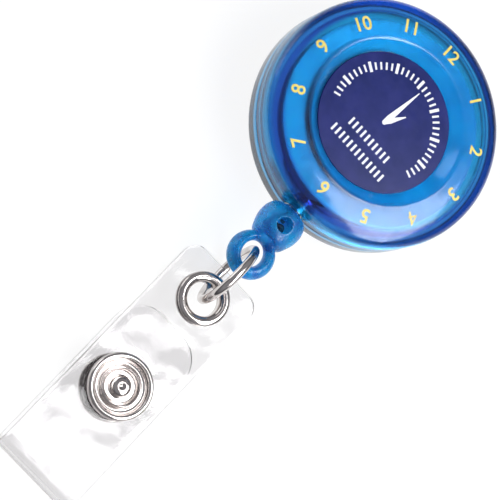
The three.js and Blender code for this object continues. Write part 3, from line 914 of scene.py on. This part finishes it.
def cord_line(fibre):
    angle = lead_angle()
    height = CORD_Z + TURNS_PER_LAYER / 2 * CORD_PITCH
    leave = Vector((COIL_OUT_R * math.cos(angle), COIL_OUT_R * math.sin(angle), height))
    route = []
    for along, down in ((0.08, 0), (0.35, 0), (0.62, 0.12), (0.84, 0.6)):
        point = leave.lerp(LEAD_BEND, along)
        point.z = height + (CORD_Z - height) * down
        route.append(point)
    knot_high = extent("cord_knot")[1]
    route += [LEAD_BEND.copy(), (0.3, -14.25, CORD_Z), (0.05, -14.95, CORD_Z), (0, CORD_LEAVES_CASE, CORD_Z),
              (0, CORD_ENTERS_CONNECTOR, CORD_Z), (0, knot_high.y + 0.1, CORD_Z)]
    line = through([Vector(p) for p in route], 14)
    cord = tube("cord_line", line, twisted(CORD_R, CORD_STRANDS, CORD_LAY), 18)
    finish(cord, fibre, nodes=["cord_lead"], sharp=80)
    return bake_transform(cord)


def cord_end_knot(fibre):
    """A figure of three lobes pulled tight: the strand passes over itself."""
    low, high = extent("cord_knot")
    centre, size = (low + high) / 2, (high - low) / 2
    line = []
    for i in range(97):
        t = 2 * math.pi * i / 96
        x = math.sin(t) + 2 * math.sin(2 * t)
        y = math.cos(t) - 2 * math.cos(2 * t)
        trefoil = Vector((x, y, -1.6 * math.sin(3 * t)))
        line.append(Vector(trefoil[k] / 3 * (size[k] - CORD_R) for k in range(3)) + centre)
    knot = tube("cord_end_knot", line, twisted(CORD_R, CORD_STRANDS, CORD_LAY), 14)
    return finish(knot, fibre, "connector", ["cord_knot"], 80)


# ---- Connector and ring ----


def connector(plastic):
    """A moulded neck and eye. The two are joined, then softened where they meet."""
    start, eye_end = -fitting_high.y, -fitting_low.y
    neck_end = start + 4.95
    eye_r = 3.15
    eye_y = -(eye_end - eye_r)
    neck = lathe_on_cord("connector", [(0, start)] + through([
        (1.9, start),
        (2.5, start + 0.25),
        (2.85, start + 0.8),
        (fitting_high.x - 0.1, start + 1.6),
        (3.0, start + 2.8),
        (2.65, start + 3.9),
        (2.3, neck_end - 0.3),
        (1.6, neck_end + 0.2),
    ]) + [(0, neck_end + 0.2)])
    half, rim_r = 1.5, 1.2
    rim = [(r, z * half / rim_r) for r, z in arc(eye_r - rim_r, 0, rim_r, -90, 90, 16)]
    eye = lathe("eye", [(0, -half), *rim, (0, half)], 96, (0, eye_y, CORD_Z))
    hole_r, flare = 1.5, 0.7
    throat = [(hole_r + flare - flare * c, half * s) for c, s in arc(0, 0, 1, -90, 90, 18)]
    below = [(0, -half - 1), (hole_r + flare, -half - 1)]
    above = [(hole_r + flare, half + 1), (0, half + 1)]
    hole = lathe("hole", [*below, *throat, *above], 64)
    hole.data.transform(Matrix.Translation((0, eye_y + 0.23, CORD_Z)) @ Matrix.Diagonal((1, 1.2, 1, 1)))
    cut(neck, eye, operation="UNION")
    bore = rod("bore", 0.7, (0, KNOT_Y, CORD_Z), (0, 1 - start, CORD_Z), 32)
    chamber = lathe("chamber", arc(0, 0, 1.35, -90, 90, 18), 48, (0, KNOT_Y, CORD_Z))
    window = rod("window", 1.0, (0, KNOT_Y, CORD_Z), (0, KNOT_Y, CORD_Z + 4), 32)
    cut(neck, hole, bore, chamber, window)
    remesh = neck.modifiers.new("even", "REMESH")
    remesh.mode = "VOXEL"
    remesh.voxel_size = 0.11
    smooth = neck.modifiers.new("soften", "SMOOTH")
    smooth.factor = 0.5
    smooth.iterations = 6
    baked(neck)
    return finish(neck, plastic, "connector", ["end_fitting"], 80)


def split_ring(metal):
    centre = (ring_low + ring_high) / 2
    wire_r = (ring_high.x - ring_low.x) / 2
    ring_r = (ring_high.z - ring_low.z) / 2 - wire_r
    half_gap = math.radians(1.5)
    line = []
    for i in range(161):
        angle = -math.pi / 2 + half_gap + (2 * math.pi - 2 * half_gap) * i / 160
        line.append(centre + ring_r * Vector((0, math.cos(angle), math.sin(angle))))
    ring = tube("split_ring", line, lambda distance, angle: wire_r * 0.995, 28)
    return finish(ring, metal, "ring", ["jump_ring"])


# ---- Strap ----

EYELET_Y = (eyelet_low.y + eyelet_high.y) / 2
SNAP_Y = (snap_low.y + snap_high.y) / 2


def vinyl_strap(vinyl):
    """One strip of clear vinyl, folded once round, with a hole for the eyelet and two for the snap."""
    top_y, flap_y = strap_high.y, flap_high.y
    top_z, flap_z = strap_high.z - VINYL / 2, flap_low.z + VINYL / 2
    fold_z, fold_r = (top_z + flap_z) / 2, (top_z - flap_z) / 2
    fold_y = strap_low.y + fold_r + VINYL / 2
    top_r, flap_r = 2.0, 4.2
    upper_length, flap_length = top_y - fold_y, flap_y - fold_y
    upper = corner_steps(top_r)
    upper += [top_r + (upper_length - top_r) * i / 60 for i in range(1, 61)]
    lower = [(flap_length - flap_r) * i / 40 for i in range(1, 41)]
    lower += [flap_length - d for d in reversed(corner_steps(flap_r)[:-1])]
    line = [(top_y - d, top_z) for d in upper[:-1]]
    line += arc(fold_y, fold_z, fold_r, 90, 270, 32)
    line += [(fold_y + d, flap_z) for d in lower]
    width = strap_high.x - strap_low.x

    def width_at(distance, length):
        narrower = corner_width(distance, top_r) + corner_width(length - distance, flap_r)
        return width - 2 * narrower

    strip = band("vinyl_strap", line, width_at, VINYL, 0.12, 32)
    holes = [
        rod("hole", 2.6, (0, EYELET_Y, top_z - 1), (0, EYELET_Y, top_z + 1), 64),
        rod("hole", 1.0, (0, SNAP_Y, top_z - 0.8), (0, SNAP_Y, top_z + 1), 32),
        rod("hole", 1.4, (0, SNAP_Y, flap_z - 1), (0, SNAP_Y, flap_z + 0.8), 32),
    ]
    cut(strip, *holes)
    finish(strip, vinyl, nodes=["strap_front", "strap_flap"])
    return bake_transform(strip)


def eyelet_barrel(metal):
    top, bottom = strap_high.z, strap_high.z - VINYL - 0.5
    barrel = lathe("eyelet_barrel", through([
        (2.15, bottom - 0.12),
        (2.4, bottom - 0.29),
        (2.8, bottom - 0.3),
        (2.98, bottom - 0.16),
        (2.85, bottom - 0.05),
    ], 5) + [(2.5, bottom - 0.05), (2.5, top), (3.3, top)] + through([
        (3.36, top + 0.02),
        (3.45, top + 0.2),
        (3.3, top + 0.46),
        (2.95, top + 0.6),
        (2.55, top + 0.52),
        (2.25, top + 0.25),
        (2.15, top - 0.15),
        (2.15, top - 0.4),
    ], 6), 96, (0, EYELET_Y, 0))
    return finish(barrel, metal, "strap", ["eyelet"])


def eyelet_back(metal):
    bottom = strap_high.z - VINYL - 0.5
    washer = lathe("eyelet_back", rounded([
        (2.6, bottom, 0.1),
        (washer_high.x, bottom, 0.15),
        (washer_high.x, bottom + 0.5, 0.1),
        (2.6, bottom + 0.5),
    ]), 96, (0, EYELET_Y, 0))
    return finish(washer, metal, "strap", ["eyelet_washer"])


def snap_top(metal):
    z = strap_high.z
    under = strap_high.z - VINYL
    top = lathe("snap_top", [(0, under - 0.9), (0.9, under - 0.9), (0.9, z)] + through([
        (3.95, z),
        (4.2, z + 0.12),
        (4.25, z + 0.4),
        (4.15, z + 0.72),
        (3.9, z + 0.9),
        (3.58, z + 0.82),
        (3.36, z + 0.4),
        (3.2, z + 0.1),
        (2.8, z + 0.05),
        (2.6, z + 0.42),
        (2.4, z + 0.7),
        (2.18, z + 0.45),
        (2.02, z + 0.08),
        (1.7, z + 0.04),
        (1.4, z + 0.12),
        (1.25, z + 0.74),
        (0.95, z + 1.1),
        (0.5, z + 1.19),
        (0.28, z + 1.08),
        (0.12, z + 0.98),
    ], 6) + [(0, z + 0.96)], 128, (0, SNAP_Y, 0))
    return finish(top, metal, "strap", ["snap_ring"])


def snap_post(metal):
    under = strap_high.z - VINYL
    post = lathe("snap_post", rounded([
        (0, stud_low.z),
        (1.25, stud_low.z, 0.1),
        (1.6, under - 1.15, 0.2),
        (1.45, under - 0.75, 0.2),
        (1.5, under - 0.45, 0.05),
        (stud_high.x, under - 0.45, 0.2),
        (stud_high.x, under, 0.1),
        (1.0, under),
        (1.0, under - 1.0),
        (0, under - 1.0),
    ]), 96, (0, SNAP_Y, 0))
    return finish(post, metal, "strap", ["snap_stud"])


def snap_cup(metal):
    z = socket_low.z
    cup = lathe("snap_cup", rounded([
        (1.4, z),
        (socket_high.x, z, 0.05),
        (socket_high.x, z + 1.1, 0.1),
        (3.3, z + 1.45, 0.1),
        (2.3, z + 1.45, 0.1),
        (1.95, z + 1.25, 0.05),
        (1.95, z + 1.15, 0.03),
        (2.7, z + 1.15, 0.05),
        (2.7, z + 0.8, 0.05),
        (1.95, z + 0.8, 0.03),
        (1.95, z + 0.45, 0.03),
        (1.4, z + 0.45, 0.03),
    ]), 96, (0, SNAP_Y, 0))
    return finish(cup, metal, "flap", ["snap_socket"])


def snap_wire(steel):
    """The open ring of wire that grips the stud."""
    wire_z = (wire_low.z + wire_high.z) / 2
    arc_points = arc(0, SNAP_Y, 2.25, 30, 330, 48)
    wire_line = [Vector((x, y, wire_z)) for x, y in arc_points]
    wire = tube("snap_wire", wire_line, lambda distance, angle: WIRE_R, 12)
    return finish(wire, steel, "flap", ["snap_spring"])


def snap_button(metal):
    on_flap = socket_low.z + 0.45
    button = lathe("snap_button", through([
        (0, 0),
        (1.4, 0.0),
        (2.6, 0.02),
        (3.4, 0.17),
        (4.0, 0.5),
        (4.28, 0.85),
        (4.27, 1.08),
    ], 6) + [
        (4.15, cap_low.z + 1.2),
        (1.3, 1.2),
        (1.3, on_flap),
        (1.75, on_flap),
        (1.7, cap_high.z),
        (0, cap_high.z),
    ], 96, (0, SNAP_Y, 0))
    return finish(button, metal, "flap", ["snap_cap"])


# ---- Room ----

# In metres, unlike the shapes.
LAMP_DISTANCE = 0.5
FLOOR_SIZE = 20
FLOOR_GAP = 0.0002


def softbox(name, corner, along, size, radiance):
    """A rectangular lamp, from one corner. It lies square to the line from the reel to that corner.

    corner and along are (azimuth, elevation) in degrees: the first edge runs from the corner towards along.
    Its power is worked out from how bright it looks.
    """
    lamp = bpy.data.lights.new(name, "AREA")
    lamp.shape = "RECTANGLE"
    lamp.size, lamp.size_y = size
    lamp.energy = radiance * math.pi * size[0] * size[1]
    obj = bpy.data.objects.new(name, lamp)
    back = toward(*map(math.radians, corner))
    target = toward(*map(math.radians, along))
    first = (target - back * target.dot(back)).normalized()
    second = back.cross(first)
    place = back * LAMP_DISTANCE + first * size[0] / 2 + second * size[1] / 2
    obj.matrix_world = Matrix.Translation(place) @ Matrix((first, second, back)).transposed().to_4x4()
    bpy.context.scene.collection.objects.link(obj)
    return obj


def floor():
    """A pale floor. From beneath it is see-through, so that the underside can be looked at."""
    bm = bmesh.new()
    bmesh.ops.create_grid(bm, x_segments=1, y_segments=1, size=FLOOR_SIZE)
    obj = new_object("floor", bm)
    obj.location.z = -FLOOR_GAP
    m = Material("floor", Roughness=0.9, Base_Color=(0.1, 0.1, 0.1, 1), Emission_Strength=0.9)
    m.shader.inputs["Emission Color"].default_value = (1, 1, 1, 1)
    side = m.node("ShaderNodeNewGeometry").outputs["Backfacing"]
    clear = m.node("ShaderNodeBsdfTransparent")
    mix = m.node("ShaderNodeMixShader")
    m.link(side, mix.inputs["Fac"])
    m.link(m.shader.outputs[0], mix.inputs[1])
    m.link(clear.outputs[0], mix.inputs[2])
    m.link(mix.outputs[0], m.output.inputs["Surface"])
    obj.data.materials.append(m.made)


def sky():
    """A room that is bright overhead and dim near the horizon, which gives the metal its dark bands."""
    world = bpy.data.worlds.new("room")
    bpy.context.scene.world = world
    world.use_nodes = True
    nodes, links = world.node_tree.nodes, world.node_tree.links
    place = nodes.new("ShaderNodeTexCoord")
    split = nodes.new("ShaderNodeSeparateXYZ")
    ramp = nodes.new("ShaderNodeValToRGB")
    ramp.color_ramp.elements[0].position = 0.05
    ramp.color_ramp.elements[0].color = (0.04, 0.04, 0.045, 1)
    ramp.color_ramp.elements[1].position = 0.55
    ramp.color_ramp.elements[1].color = (0.3, 0.3, 0.32, 1)
    links.new(place.outputs["Generated"], split.inputs[0])
    links.new(split.outputs["Z"], ramp.inputs["Fac"])
    links.new(ramp.outputs["Color"], nodes["Background"].inputs["Color"])


def studio():
    floor()
    sky()
    softbox("softbox_main", (134, 53), (130, 84), (0.26, 0.75), 9)
    softbox("softbox_left", (-80, 20), (-110, 20), (0.3, 0.2), 2)
    bpy.context.scene.view_settings.view_transform = "Standard"


# ---- The whole object ----


def build():
    plastic = blue_plastic()
    metal = nickel()
    steel = spring_steel()
    white = white_plastic()
    fibre = nylon()
    yellow = ink("yellow_ink", (0.80, 0.62, 0.12, 1), (0.90, 0.74, 0.2, 1))
    white_ink = ink("white_ink", (0.80, 0.82, 0.9, 1), (0.9, 0.92, 0.96, 1))
    front_shell(plastic)
    back_shell(plastic)
    dial_label(navy_label())
    dial_numerals(yellow)
    dial_marks(white_ink)
    dial_hands(white_ink)
    cord_bushing(metal)
    belt_clip(steel)
    rivet(metal)
    spool(white)
    spring_lid(white)
    spool_post(white)
    power_spring(steel)
    cord_winding(fibre)
    cord_line(fibre)
    cord_end_knot(fibre)
    connector(connector_plastic())
    split_ring(metal)
    vinyl_strap(clear_vinyl())
    eyelet_barrel(metal)
    eyelet_back(metal)
    snap_top(metal)
    snap_post(metal)
    snap_cup(metal)
    snap_wire(steel)
    snap_button(metal)


add_camera()
build()
studio()
